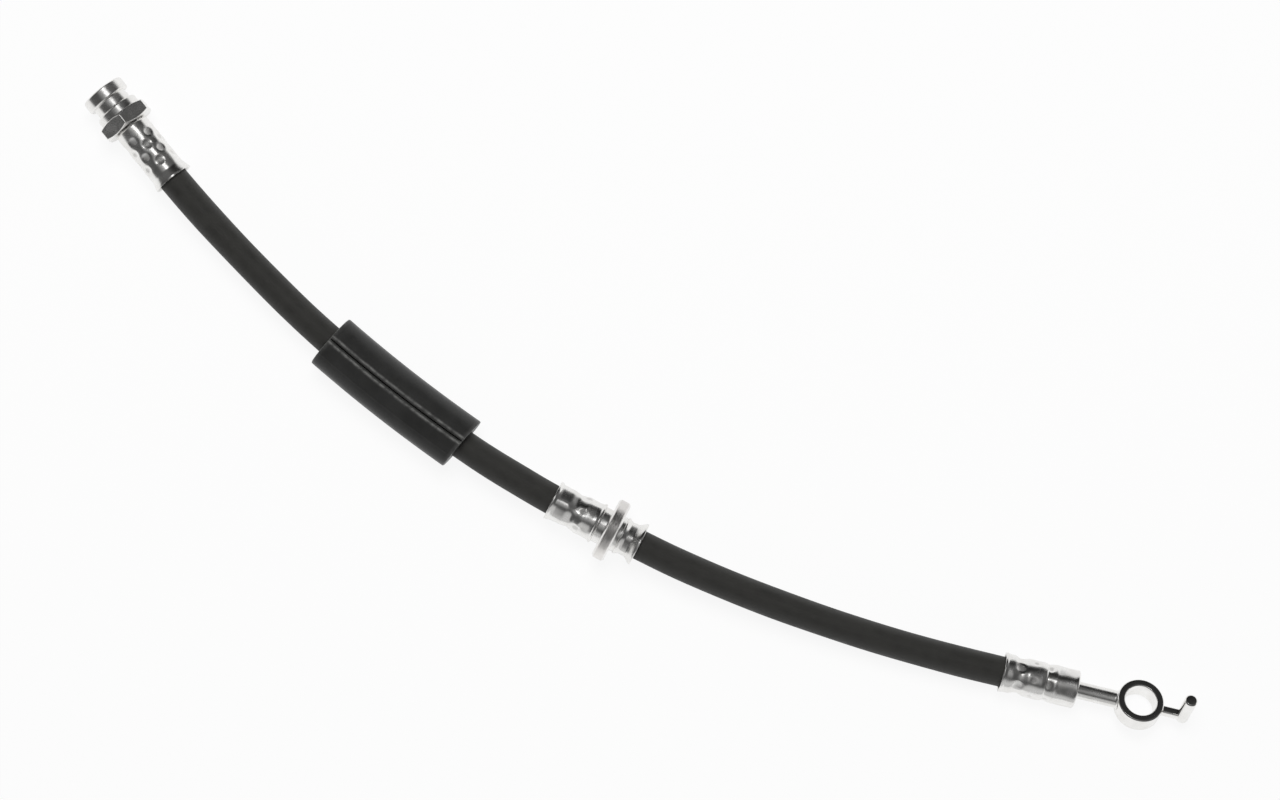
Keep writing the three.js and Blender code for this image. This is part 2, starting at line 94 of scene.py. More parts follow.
def smooth_route(points, steps=40):
    """A centripetal curve through the points, as the part's source draws it."""
    padded = np.vstack([2 * points[0] - points[1], points, 2 * points[-1] - points[-2]])
    line = []
    for a, b, c, d in zip(padded, padded[1:], padded[2:], padded[3:]):
        ab, bc, cd = (math.sqrt(np.linalg.norm(q - p)) for p, q in ((a, b), (b, c), (c, d)))
        start = ((b - a) / ab - (c - a) / (ab + bc) + (c - b) / bc) * bc
        end = ((c - b) / bc - (d - b) / (bc + cd) + (d - c) / cd) * bc
        for t in np.linspace(0, 1, steps, endpoint=False):
            line.append(
                b + start * t
                + (3 * (c - b) - 2 * start - end) * t**2
                + (2 * (b - c) + start + end) * t**3
            )
    return np.array(line + [points[-1]])


ROUTE = smooth_route(HOSE_ROUTE)
ALONG = np.concatenate([[0], np.cumsum(np.linalg.norm(np.diff(ROUTE, axis=0), axis=1))])
HOSE_LENGTH = ALONG[-1]


def at(distance):
    """The point of the hose's middle line at a distance from its start."""
    return np.array([np.interp(distance, ALONG, ROUTE[:, axis]) for axis in range(3)]).T


def distance_to(point):
    return ALONG[np.argmin(np.linalg.norm(ROUTE - point, axis=1))]


def ring_frames(distances):
    """Centres, and the directions to the left and up, along the hose."""
    ahead = at(distances + 0.5) - at(distances - 0.5)
    ahead /= np.linalg.norm(ahead, axis=1)[:, None]
    left = np.cross([0, 0, 1], ahead)
    left /= np.linalg.norm(left, axis=1)[:, None]
    return at(distances), left, np.cross(ahead, left)


# Meshes


def add_mesh(name, points, faces, placed=None):
    mesh = bpy.data.meshes.new(name)
    mesh.from_pydata([tuple(p) for p in np.asarray(points) * MM], [], faces)
    tidy = bmesh.new()
    tidy.from_mesh(mesh)
    bmesh.ops.recalc_face_normals(tidy, faces=tidy.faces)
    tidy.to_mesh(mesh)
    tidy.free()
    mesh.shade_smooth()
    piece = bpy.data.objects.new(name, mesh)
    scene.collection.objects.link(piece)
    if placed is not None:
        piece.matrix_world = placed
    return piece


def grid_faces(rows, sides, looped):
    faces = []
    for i in range(rows if looped else rows - 1):
        here, there = i * sides, (i + 1) % rows * sides
        for j in range(sides):
            k = (j + 1) % sides
            faces.append((here + j, here + k, there + k, there + j))
    return faces


def eased(outline, radius=0.15, steps=4, looped=True):
    """The outline with its corners rounded, so that they catch the light."""
    outline = [np.array(p, float) for p in outline]
    result = []
    for i, corner in enumerate(outline):
        if not looped and i in (0, len(outline) - 1):
            result.append(corner)
            continue
        before, after = outline[i - 1] - corner, outline[(i + 1) % len(outline)] - corner
        reach = min(radius, 0.45 * np.linalg.norm(before), 0.45 * np.linalg.norm(after))
        before, after = before / np.linalg.norm(before), after / np.linalg.norm(after)
        if np.dot(before, after) < -0.995:
            result.append(corner)
            continue
        start, end = corner + before * reach, corner + after * reach
        for t in np.linspace(0, 1, steps + 1):
            result.append((1 - t) ** 2 * start + 2 * t * (1 - t) * corner + t**2 * end)
    return np.array(result)


def denser(outline, step, looped=True):
    """The outline with points added until none of its stretches is longer than a step."""
    result = []
    for i, point in enumerate(outline):
        result.append(point)
        if not looped and i == len(outline) - 1:
            break
        following = outline[(i + 1) % len(outline)]
        count = math.ceil(np.linalg.norm(following - point) / step)
        result.extend(point + (following - point) * k / count for k in range(1, count))
    return np.array(result)


def lathe_grid(outline, sides):
    """The place along the x axis, the radius and the angle of each point of a turned body."""
    x = np.repeat(outline[:, :1], sides, axis=1)
    radius = np.repeat(outline[:, 1:], sides, axis=1)
    return x, radius, np.linspace(0, 2 * math.pi, sides, endpoint=False)[None, :] + 0 * x


def lathe(outline, sides=144, shape=None, looped=True):
    """Points and faces of a body turned about the x axis from pairs of x and radius."""
    x, radius, angle = lathe_grid(outline, sides)
    if shape:
        x, radius = shape(x, radius, angle)
    points = np.stack([x, radius * np.sin(angle), radius * np.cos(angle)], axis=2)
    points = points.reshape(-1, 3)
    faces = grid_faces(len(outline), sides, looped)
    if not looped:
        faces += [tuple(range(sides)), tuple(range(len(points) - sides, len(points)))]
    return points, faces


def joined(*parts):
    """Several sets of points and faces as one."""
    points, faces, count = [], [], 0
    for some_points, some_faces in parts:
        points.append(some_points)
        faces += [tuple(i + count for i in face) for face in some_faces]
        count += len(some_points)
    return np.vstack(points), faces


def flat_shaded(piece):
    """Keeps flat faces flat beside rounded edges."""
    weigh = piece.modifiers.new("weighted normals", "WEIGHTED_NORMAL")
    weigh.weight = 80
    return piece


def placed_along(start, end, roll=0):
    ahead = Vector(end - start).normalized()
    left = Vector((0, 0, 1)).cross(ahead).normalized()
    basis = Matrix((ahead, left, ahead.cross(left))).transposed().to_4x4()
    basis.translation = Vector(start) * MM
    return basis @ Matrix.Rotation(roll, 4, "X")


# How far plated sheet steel strays from round
UNEVEN = 0.035


JAWS = 6


def pit_shares(x, radius, angle, pit):
    """How deep in a ring of pits each point is, from 0 outside to 1 at a pit's bottom."""
    middle, length, width, _, turn = pit
    step = 2 * math.pi / JAWS
    around = np.mod(angle - turn + step / 2, step) - step / 2
    off = ((x - middle) / (length / 2)) ** 2 + (around * radius / (width / 2)) ** 2
    return np.where(off < 1, (1 - off) ** 2, 0)


def mark_pits(piece, outline, sides, pits):
    """Where the jaws scuffed the plate, for the material."""
    grid = lathe_grid(outline, sides)
    marks = sum(pit_shares(*grid, pit) for pit in pits)
    scuffed = piece.data.attributes.new("jaw_mark", "FLOAT", "POINT")
    scuffed.data.foreach_set("value", np.clip(1.3 * marks, 0, 1).ravel())
    return piece


def crimps(pits, waists=(), flats=()):
    """What the crimping jaws leave: rings of pits, waists all the way round, and flats.

    A ring of pits has a middle, a length, a width, a depth and the angle of its first pit.
    A waist has a middle, a length and a depth. Flats have a start, an end, a depth and the
    angle of their first corner.
    """

    def shape(x, radius, angle):
        uneven = np.sin(2 * angle + x / 3.1) + np.sin(3 * angle - x / 1.9 + 1)
        uneven += 0.7 * np.sin(5 * angle + x / 1.3 + 2)
        pressed = radius + UNEVEN * uneven
        for pit in pits:
            depth = pit[3]
            pressed -= depth * pit_shares(x, radius, angle, pit)
        for middle, length, depth in waists:
            off = ((x - middle) / (length / 2)) ** 2
            pressed -= np.where(off < 1, depth * (1 - off) ** 2, 0)
        for start, end, depth, turn in flats:
            within = np.clip(np.minimum(x - start, end - x), 0, 1)
            pressed -= within * depth * (1 - np.cos(JAWS * (angle - turn))) / 2
        return x, pressed

    return shape


# Hose

HOSE_DIAMETER = 10.2
HOSE_GRIP = 18
PORT_FERRULE_LENGTH = 22.4
COLLAR_LENGTH = 32.6
BANJO_FERRULE_LENGTH = 25.6
PORT_GRIP_RADIUS, BANJO_GRIP_RADIUS = 4.5, 4.4
COLLAR_GRIP_RADIUS, COLLAR_FAR_GRIP_RADIUS = 4.5, 4.8
PORT_MOUTH_AT = distance_to(PORT_MOUTH)
COLLAR_MOUTH_AT = distance_to(COLLAR_MOUTH)
BANJO_MOUTH_AT = distance_to(BANJO_MOUTH)


def hose_radius(distance):
    """The hose is squeezed where its fittings grip it."""
    free = HOSE_DIAMETER / 2
    stations = [
        (0, PORT_GRIP_RADIUS), (PORT_MOUTH_AT - 4, PORT_GRIP_RADIUS),
        (PORT_MOUTH_AT - 0.5, free), (COLLAR_MOUTH_AT + 1, free),
        (COLLAR_MOUTH_AT + 5, COLLAR_GRIP_RADIUS), (COLLAR_MOUTH_AT + 12, COLLAR_GRIP_RADIUS),
        (COLLAR_MOUTH_AT + 17, 5), (COLLAR_MOUTH_AT + 26, COLLAR_FAR_GRIP_RADIUS),
        (COLLAR_MOUTH_AT + 30, COLLAR_FAR_GRIP_RADIUS),
        (COLLAR_MOUTH_AT + COLLAR_LENGTH, free), (BANJO_MOUTH_AT + 0.5, free),
        (BANJO_MOUTH_AT + 3.5, BANJO_GRIP_RADIUS), (HOSE_LENGTH, BANJO_GRIP_RADIUS),
    ]
    return np.interp(distance, *zip(*stations))


def make_hose(sides=72, step=1.0):
    start, end = PORT_MOUTH_AT - HOSE_GRIP + 0.5, BANJO_MOUTH_AT + HOSE_GRIP - 0.5
    distances = np.linspace(start, end, round((end - start) / step))
    centres, left, up = ring_frames(distances)
    angle = np.linspace(0, 2 * math.pi, sides, endpoint=False)
    radius = hose_radius(distances)
    # A moulded hose is never quite even: its thickness wanders by a few hundredths.
    wander = 0.035 * np.sin(distances / 13) + 0.02 * np.sin(distances / 5.3 + 1)
    sine, cosine = np.sin(angle)[None, :, None], np.cos(angle)[None, :, None]
    around = left[:, None] * sine + up[:, None] * cosine
    points = centres[:, None] + around * (radius + wander)[:, None, None]
    faces = grid_faces(len(distances), sides, False)
    count = len(distances) * sides
    faces += [tuple(range(sides)), tuple(range(count - sides, count))]
    piece = add_mesh("hose_rubber_tube", points.reshape(-1, 3), faces)
    # Distance along the hose and the angle round it, for the material.
    place = piece.data.attributes.new("hose_place", "FLOAT_VECTOR", "POINT")
    grid = np.zeros((len(distances), sides, 3))
    grid[:, :, 0] = distances[:, None]
    grid[:, :, 1] = np.sin(angle)[None, :] * HOSE_DIAMETER / 2
    grid[:, :, 2] = np.cos(angle)[None, :] * HOSE_DIAMETER / 2
    place.data.foreach_set("vector", grid.ravel())
    return piece, centres


hose, hose_centres = make_hose()

# Sleeve

SLEEVE_START = 75.3
SLEEVE_LENGTH = 55.9
SLEEVE_DIAMETER = 19.3
SLEEVE_SLIT = 0.24
# The two lips are rounded a little differently.
SLEEVE_LIP = 0.4
SLEEVE_CRISP_LIP = 0.3
# The beads' height, their distances from the slit's middle and their spread
SLEEVE_BEAD = 0.22
BEAD_AT, CRISP_BEAD_AT, BEAD_SPREAD = 1.3, 1.1, 0.4
MOULDING_LINE, MOULDING_LINE_AT, MOULDING_LINE_SPREAD = 0.08, 6.4, 0.3
SLEEVE_TURN = math.radians(6)
SLEEVE_SKEW = math.radians(6)
SLEEVE_END_ROUNDING = 0.45
# Painted highlight: the rubber is painted paler along the lips, and half as much round the ends'
# rims
PAINTED_LIP_HIGHLIGHT_AT, PAINTED_LIP_HIGHLIGHT_SPREAD = 1.15, 0.4
PAINTED_END_HIGHLIGHT, PAINTED_END_HIGHLIGHT_AT, PAINTED_END_HIGHLIGHT_SPREAD = 0.5, 0.2, 0.3


def evenly(points, count):
    points = np.array(points)
    run = np.concatenate([[0], np.cumsum(np.linalg.norm(np.diff(points, axis=0), axis=1))])
    places = np.linspace(0, run[-1], count)
    return np.stack([np.interp(places, run, points[:, k]) for k in (0, 1)], axis=1)


def sleeve_section(count=260):
    """The outer and inner lines of the slit ring, in pairs of left and up, slit on top."""
    outer, inner = SLEEVE_DIAMETER / 2, HOSE_DIAMETER / 2 + GAP
    half = SLEEVE_SLIT / 2
    corner = math.sqrt(outer**2 - half**2)
    middle = (outer + inner) / 2

    def lip(size):
        begin = math.asin((half + size) / outer)
        start, bend = np.array([half, corner - size]), np.array([half, corner])
        end = np.array([outer * math.sin(begin), outer * math.cos(begin)])
        bends = [(1 - t) ** 2 * start + 2 * t * (1 - t) * bend + t**2 * end
                 for t in np.linspace(0, 1, 14)]
        return begin, [(half, middle)] + [tuple(p) for p in bends]

    def raised(angle):
        # A small bead runs along each lip, and a faint moulding line along one side.
        past = outer * (2 * math.pi - angle)
        beads = math.exp(-(((past - CRISP_BEAD_AT) / BEAD_SPREAD) ** 2))
        beads += math.exp(-(((outer * angle - BEAD_AT) / BEAD_SPREAD) ** 2))
        line = math.exp(-(((past - MOULDING_LINE_AT) / MOULDING_LINE_SPREAD) ** 2))
        return outer + SLEEVE_BEAD * beads + MOULDING_LINE * line

    soft_begin, soft_lip = lip(SLEEVE_LIP)
    crisp_begin, crisp_lip = lip(SLEEVE_CRISP_LIP)
    arc = np.linspace(soft_begin, 2 * math.pi - crisp_begin, 900)[1:-1]
    outside = soft_lip + [(raised(a) * math.sin(a), raised(a) * math.cos(a)) for a in arc]
    outside += [(-x, y) for x, y in reversed(crisp_lip)]
    low = math.asin(half / inner)
    arc = np.linspace(low, 2 * math.pi - low, 200)
    inside = [(half, middle)] + [(inner * math.sin(a), inner * math.cos(a)) for a in arc]
    inside += [(-half, middle)]
    return evenly(outside, count), evenly(inside, count)


def make_sleeve():
    outside, inside = sleeve_section()
    count = len(outside)
    start = PORT_MOUTH_AT + SLEEVE_START
    rounding = SLEEVE_END_ROUNDING
    bend = np.linspace(0, math.pi / 2, 6)
    ends = [(rounding * (1 - math.sin(a)), rounding * (1 - math.cos(a))) for a in bend]
    body = np.linspace(rounding, SLEEVE_LENGTH - rounding, 56)[1:-1]
    stations = [(x, inset) for x, inset in reversed(ends)]
    stations += [(x, 0) for x in body]
    stations += [(SLEEVE_LENGTH - x, inset) for x, inset in ends]
    across = inside - outside
    thick = np.linalg.norm(across, axis=1)[:, None]
    across = across / np.maximum(thick, 0.01)
    points, edges = [], []
    for x, inset in stations:
        step_in = np.minimum(inset, 0.4 * thick)
        centre, left, up = (v[0] for v in ring_frames(np.array([start + x])))
        ahead = np.cross(left, up)
        skew = math.tan(SLEEVE_SKEW) * x / SLEEVE_LENGTH
        loop = np.vstack([outside + across * step_in, (inside - across * step_in)[::-1][1:-1]])
        # Painted highlight: paler colour along the crests of the lips and round the end rims,
        # where they would catch light.
        lip = np.exp(-(((np.abs(loop[:, 0]) - PAINTED_LIP_HIGHLIGHT_AT) / PAINTED_LIP_HIGHLIGHT_SPREAD) ** 2))
        lip = lip * (loop[:, 1] > SLEEVE_DIAMETER / 2 - 1)
        from_end = min(x, SLEEVE_LENGTH - x)
        end = math.exp(-(((from_end - PAINTED_END_HIGHLIGHT_AT) / PAINTED_END_HIGHLIGHT_SPREAD) ** 2))
        edges.append(np.maximum(lip, PAINTED_END_HIGHLIGHT * end))
        cosine, sine = math.cos(SLEEVE_TURN), math.sin(SLEEVE_TURN)
        sideways = loop[:, 0] * cosine + loop[:, 1] * sine
        upward = loop[:, 1] * cosine - loop[:, 0] * sine
        points.append(
            centre + (left + ahead * skew) * sideways[:, None] + up * upward[:, None]
        )
    size = len(points[0])
    faces = grid_faces(len(points), size, False)
    last = (len(points) - 1) * size
    for base in (0, last):
        ring = [base + i for i in range(count)]
        back = [base] + [base + size - 1 - i for i in range(count - 2)] + [base + count - 1]
        faces += [
            tuple(dict.fromkeys((ring[i], ring[i + 1], back[i + 1], back[i])))
            for i in range(count - 1)
        ]
    piece = add_mesh("split_rubber_sleeve", np.vstack(points), faces)
    # How much painted highlight each point gets, near the crest of a lip or an end's rim, for
    # the material.
    painted_highlight = piece.data.attributes.new("sleeve_painted_highlight", "FLOAT", "POINT")
    painted_highlight.data.foreach_set("value", np.concatenate(edges))
    return piece


sleeve = make_sleeve()

# Port end

PORT_FERRULE_RADIUS = 6.15
PORT_MOUTH_RADIUS = 6.9
LIP_LENGTH = 0.6
HEX_LENGTH = 4.9
LAND_LENGTH, LAND_RADIUS = 3, 7.5
CLIP_GROOVE_LENGTH, CLIP_GROOVE_RADIUS = 3.2, 6.15
PORT_COLLAR_LENGTH, PORT_COLLAR_RADIUS = 4.2, 7.6
SOCKET_RADIUS, SOCKET_DEPTH = 4.6, 9.5
EDGE = 0.4
THREAD_PITCH, THREAD_DEPTH = 1.0, 0.45
INSERT_RADIUS, DRILLING_RADIUS = 1.9, 1.1
HEX_CHAMFER_REACH, HEX_EASE = 1.1, 0.05
port_place = placed_along(PORT_MOUTH, PORT_END)


def make_port_ferrule():
    wall = 1
    taper_end = LIP_LENGTH + 2.6
    outside = [
        [0, PORT_MOUTH_RADIUS - 0.1], [0, PORT_MOUTH_RADIUS], [LIP_LENGTH, PORT_MOUTH_RADIUS],
        [taper_end, PORT_FERRULE_RADIUS], [PORT_FERRULE_LENGTH - EDGE, PORT_FERRULE_RADIUS],
        [PORT_FERRULE_LENGTH, PORT_FERRULE_RADIUS - EDGE],
        [PORT_FERRULE_LENGTH, PORT_FERRULE_RADIUS - wall],
        [taper_end, PORT_FERRULE_RADIUS - wall], [0, PORT_MOUTH_RADIUS - wall],
    ]
    outline = denser(eased(outside, 0.3), 0.25)
    pits = [
        (7.2 + 3.35 * i, 4, 4.4, 0.44, math.radians(30 * (i % 2) - 8)) for i in range(4)
    ]
    piece = add_mesh("crimped_port_ferrule", *lathe(outline, 180, crimps(pits)), port_place)
    return mark_pits(piece, outline, 180, pits)


def soft_least(one, other, softness):
    """The lesser of two values, with the corner where they cross rounded."""
    least = np.minimum(one, other)
    return least - softness * np.log(
        np.exp((least - one) / softness) + np.exp((least - other) / softness)
    )


def make_port_fitting():
    hex_start = PORT_FERRULE_LENGTH + GAP
    hex_end = hex_start + HEX_LENGTH
    land_end = hex_end + LAND_LENGTH
    groove_end = land_end + CLIP_GROOVE_LENGTH
    tip = groove_end + PORT_COLLAR_LENGTH
    seat = tip - SOCKET_DEPTH
    spigot_start, spigot = PORT_FERRULE_LENGTH - 3, PORT_FERRULE_RADIUS - 1 - GAP
    flat = HEX_FLATS / 2
    # No turned row has this radius: it marks the rows that become the hexagon.
    hexed = 50
    back = eased([[spigot_start, INSERT_RADIUS], [spigot_start, spigot], [hex_start, spigot],
                  [hex_start, flat - 0.25]], 0.1, looped=False)
    chamfer = np.linspace(0, HEX_CHAMFER_REACH, 16)
    middle = np.linspace(HEX_CHAMFER_REACH, HEX_LENGTH - HEX_CHAMFER_REACH, 6)[1:-1]
    stations = np.concatenate([chamfer, middle, HEX_LENGTH - chamfer[::-1]])
    hex_rows = [[hex_start + x, hexed] for x in stations]
    turned = eased([
        [hex_end, flat - 0.25], [hex_end, LAND_RADIUS], [land_end - EDGE, LAND_RADIUS],
        [land_end, LAND_RADIUS - EDGE], [land_end, CLIP_GROOVE_RADIUS],
        [groove_end, CLIP_GROOVE_RADIUS], [groove_end, PORT_COLLAR_RADIUS - EDGE],
        [groove_end + EDGE, PORT_COLLAR_RADIUS], [tip - EDGE, PORT_COLLAR_RADIUS],
        [tip, PORT_COLLAR_RADIUS - EDGE], [tip, SOCKET_RADIUS + EDGE + 0.35],
    ], 0.18, looped=False)
    thread = np.arange(tip, seat + 0.6, -THREAD_PITCH / 10)
    thread_rows = [[x, SOCKET_RADIUS] for x in thread]
    bottom = eased([
        [seat + 0.5, SOCKET_RADIUS + 0.3], [seat, SOCKET_RADIUS + 0.3], [seat, 3.4],
        [seat + 1.8, 1.8], [seat + 1.8, DRILLING_RADIUS], [4, DRILLING_RADIUS],
        [4, INSERT_RADIUS],
    ], 0.08, looped=False)
    outline = np.vstack([back, hex_rows, turned, thread_rows, bottom])

    def shape(x, radius, angle):
        turn = np.mod(angle + math.pi / 6, math.pi / 3) - math.pi / 6
        # The corner points up, so the flats are half a step away from it.
        one = flat / np.cos(math.pi / 6 - turn)
        other = flat / np.cos(math.pi / 6 + turn)
        six = soft_least(one, other, HEX_EASE)
        nearer = np.minimum(x - hex_start, hex_end - x)
        cone = flat - 0.1 + np.maximum(nearer, 0) / math.tan(math.pi / 6)
        six = soft_least(six, cone, HEX_EASE)
        phase = np.mod(x / THREAD_PITCH - angle / (2 * math.pi), 1)
        groove = np.clip(1.5 * (1 - np.abs(2 * phase - 1)) - 0.2, 0, 1)
        threaded = (radius == SOCKET_RADIUS) & (x > seat + 0.55)
        depth = THREAD_DEPTH * groove
        mouth = np.clip(EDGE + 0.35 - (tip - x), 0, None)
        result = np.where(radius == hexed, six, radius)
        return x, np.where(threaded, SOCKET_RADIUS - 0.1 + np.maximum(depth, mouth), result)

    return flat_shaded(add_mesh("hex_port_fitting", *lathe(outline, 240, shape), port_place))


port_ferrule = make_port_ferrule()
port_fitting = make_port_fitting()

# Bracket collar

SHEET = 0.9
LONG_TAIL_LENGTH, LONG_TAIL_RADIUS, LONG_TAIL_END_RADIUS = 17.3, 6.6, 7.05
TAIL_LIP_RADIUS = 6.85
COLLAR_GROOVE_LENGTH, COLLAR_GROOVE_RADIUS = 2.6, 6.25
FLANGE_LENGTH, FLANGE_RADIUS, FLANGE_CHAMFER = 4.3, 10.7, 0.7
COLLAR_NECK_LENGTH = 1.4
SHORT_TAIL_RADIUS, SHORT_TAIL_LIP_RADIUS = 6.05, 7.4
collar_place = placed_along(COLLAR_MOUTH, COLLAR_FAR_MOUTH)


def make_bracket_collar():
    groove_start, groove = LONG_TAIL_LENGTH, COLLAR_GROOVE_RADIUS
    flange_start = groove_start + COLLAR_GROOVE_LENGTH
    flange_end = flange_start + FLANGE_LENGTH
    short_start = flange_end + COLLAR_NECK_LENGTH
    end = COLLAR_LENGTH
    tail = [
        [0, TAIL_LIP_RADIUS], [LIP_LENGTH, TAIL_LIP_RADIUS], [2 * LIP_LENGTH, LONG_TAIL_RADIUS],
        [groove_start - 2 * LIP_LENGTH, LONG_TAIL_RADIUS],
    ]
    short = [
        [short_start + LIP_LENGTH + 1.2, SHORT_TAIL_RADIUS],
        [end - 2.4 - LIP_LENGTH, SHORT_TAIL_RADIUS],
        [end - LIP_LENGTH, SHORT_TAIL_LIP_RADIUS], [end, SHORT_TAIL_LIP_RADIUS],
    ]
    outside = tail + [
        [groove_start - LIP_LENGTH, LONG_TAIL_END_RADIUS], [groove_start, LONG_TAIL_END_RADIUS],
        [groove_start, groove],
        [flange_start, groove], [flange_start, FLANGE_RADIUS - FLANGE_CHAMFER],
        [flange_start + FLANGE_CHAMFER, FLANGE_RADIUS],
        [flange_end - FLANGE_CHAMFER, FLANGE_RADIUS],
        [flange_end, FLANGE_RADIUS - FLANGE_CHAMFER], [flange_end, groove],
        [short_start, groove],
        [short_start, LONG_TAIL_RADIUS], [short_start + LIP_LENGTH, LONG_TAIL_RADIUS],
    ] + short
    straight = HOSE_DIAMETER / 2 + 0.4
    inside = [[x, r - SHEET] for x, r in tail]
    inside += [[groove_start, straight], [short_start, straight]]
    inside += [[x, r - SHEET] for x, r in short]
    outline = denser(eased(outside + inside[::-1], 0.22), 0.3)
    pits = [(10.9, 4.6, 4, 0.2, math.radians(12))]
    flats = [
        (1, 9, 0.3, math.radians(5)), (11.5, 16, 0.2, math.radians(-8)),
        (26, 31.5, 0.26, math.radians(8)),
    ]
    marks = crimps(pits, [(8.6, 6.4, 0.5)], flats)
    piece = add_mesh("swaged_bracket_collar", *lathe(outline, 180, marks), collar_place)
    return mark_pits(piece, outline, 180, pits)


bracket_collar = make_bracket_collar()

# Banjo end

EYE_ROLL = math.radians(31)
BANJO_LIP_RADIUS, BANJO_FERRULE_RADIUS, BANJO_WAIST_RADIUS = 6.75, 6.5, 5.95
BANJO_FLOOR_THICKNESS = 1.2
NECK_RADIUS, NECK_LENGTH = 2.9, 13.7
EYE_RADIUS, EYE_BORE_RADIUS, EYE_THICKNESS = 7.85, 5.4, 7
EYE_CHAMFER, BORE_CHAMFER = 0.3, 0.25
EYE_DRILLING_RADIUS = 1.3
EYE_CENTRE = BANJO_FERRULE_LENGTH + NECK_LENGTH + EYE_RADIUS
PIN_REACH, PIN_RADIUS, PIN_ABOVE_FACE, PIN_FOOT = 15.2, 2.15, 8.3, 1.9
BAR_RADIUS = 1.45
banjo_place = placed_along(BANJO_MOUTH, BANJO_END, -EYE_ROLL)


def make_banjo_ferrule():
    body, end = BANJO_FERRULE_RADIUS, BANJO_FERRULE_LENGTH
    floor, hole = BANJO_FERRULE_LENGTH - BANJO_FLOOR_THICKNESS, NECK_RADIUS + 0.15
    outside = [
        [0, BANJO_LIP_RADIUS], [LIP_LENGTH, BANJO_LIP_RADIUS], [2 * LIP_LENGTH, body],
        [13.2, body], [14.4, 6.3], [14.7, BANJO_WAIST_RADIUS], [17.8, body],
        [end - EDGE, body], [end, 6.1],
    ]
    inside = [[x, r - SHEET] for x, r in outside[:-2]]
    inside += [[floor, 5.6], [floor, hole], [end, hole]]
    outline = denser(eased(outside + inside[::-1], 0.3), 0.3)
    pits = [
        (5.6, 4.8, 4.6, 0.42, math.radians(-1)), (15.6, 3.4, 4.2, 0.26, math.radians(24)),
        (10.4, 3.2, 3, 0.2, math.radians(-31)),
    ]
    flats = [(17.6, BANJO_FERRULE_LENGTH - 0.4, 0.28, math.radians(-12))]
    marks = crimps(pits, [(5.8, 6, 0.5)], flats)
    piece = add_mesh("crimped_banjo_ferrule", *lathe(outline, 180, marks), banjo_place)
    return mark_pits(piece, outline, 180, pits)


def brazed(radius, far, flare=0.8, squareness=2):
    """A rod along x whose end meets the eye's rim with a small hollow fillet."""

    def shape(x, r, angle):
        sideways = r * np.sin(angle)
        rim = np.sqrt(np.maximum(EYE_RADIUS**2 - sideways**2, 0)) - 0.05
        rim = EYE_CENTRE + rim if far else EYE_CENTRE - rim
        away = np.clip(np.abs(x - rim) / flare, 0, 1)
        share = np.clip(1 - away, 0, 1)
        grown = radius + flare * 0.75 * (1 - np.sqrt(np.maximum(1 - share**2, 0)))
        near = (x < rim) if far else (x > rim)
        rod = r > radius - 0.01
        corners = np.abs(np.sin(angle)) ** squareness + np.abs(np.cos(angle)) ** squareness
        grown = np.maximum(grown, r) * corners ** (-1 / squareness)
        return np.where(near & rod, rim, x), np.where(rod, grown, r)

    return shape


def make_banjo_neck():
    rim = EYE_CENTRE - EYE_RADIUS
    shoulder = BANJO_FERRULE_LENGTH - BANJO_FLOOR_THICKNESS - GAP
    grip_end = HOSE_GRIP + 0.6
    outline = eased([
        [4, INSERT_RADIUS], [grip_end, INSERT_RADIUS], [grip_end, 4], [shoulder, 4],
        [shoulder, NECK_RADIUS], [rim - 1.6, NECK_RADIUS],
    ], 0.2, looped=False)
    close = [[x, NECK_RADIUS] for x in np.linspace(rim - 1.5, rim + 0.75, 26)]
    outline = np.vstack([outline, close, [[rim + 0.3, DRILLING_RADIUS], [4, DRILLING_RADIUS]]])
    return add_mesh("banjo_neck_pipe",
                    *lathe(outline, 96, brazed(NECK_RADIUS, False)), banjo_place)


def about_eye(points):
    """Turns a body from the x axis to the eye's axis, which points up from the fitting."""
    x, y, z = points.T
    return np.stack([EYE_CENTRE - z, y, x], axis=1)


def cut_by(piece, points, faces):
    """Takes a body away from a piece and leaves no slivers where they crossed."""
    cutter = add_mesh(piece.name + "_cutter", points, faces, piece.matrix_world.copy())
    cut = piece.modifiers.new("cut", "BOOLEAN")
    cut.operation = "DIFFERENCE"
    cut.solver = "EXACT"
    cut.object = cutter
    bpy.context.view_layer.update()
    shown = piece.evaluated_get(bpy.context.evaluated_depsgraph_get())
    piece.data = bpy.data.meshes.new_from_object(shown)
    piece.modifiers.clear()
    bpy.data.objects.remove(cutter)
    tidy = bmesh.new()
    tidy.from_mesh(piece.data)
    bmesh.ops.remove_doubles(tidy, verts=tidy.verts, dist=0.003 * MM)
    bmesh.ops.dissolve_degenerate(tidy, edges=tidy.edges, dist=0.001 * MM)
    bmesh.ops.triangulate(tidy, faces=[face for face in tidy.faces if len(face.verts) > 4])
    tidy.to_mesh(piece.data)
    tidy.free()


def make_banjo_eye():
    top = EYE_THICKNESS / 2
    side = [
        [top - BORE_CHAMFER, EYE_BORE_RADIUS], [top, EYE_BORE_RADIUS + BORE_CHAMFER],
        [top, EYE_RADIUS - EYE_CHAMFER], [top - EYE_CHAMFER, EYE_RADIUS],
    ]
    outline = side + [[-x, r] for x, r in reversed(side)]
    points, faces = lathe(denser(eased(outline, 0.12, 3), 0.8), 192)
    piece = add_mesh("banjo_eye_ring", about_eye(points), faces, banjo_place)
    drill = np.array([[EYE_CENTRE - 12, EYE_DRILLING_RADIUS], [EYE_CENTRE, EYE_DRILLING_RADIUS]])
    cut_by(piece, *lathe(drill, 48, looped=False))
    piece.data.shade_smooth()
    piece.data.set_sharp_from_angle(angle=math.radians(40))
    return flat_shaded(piece)


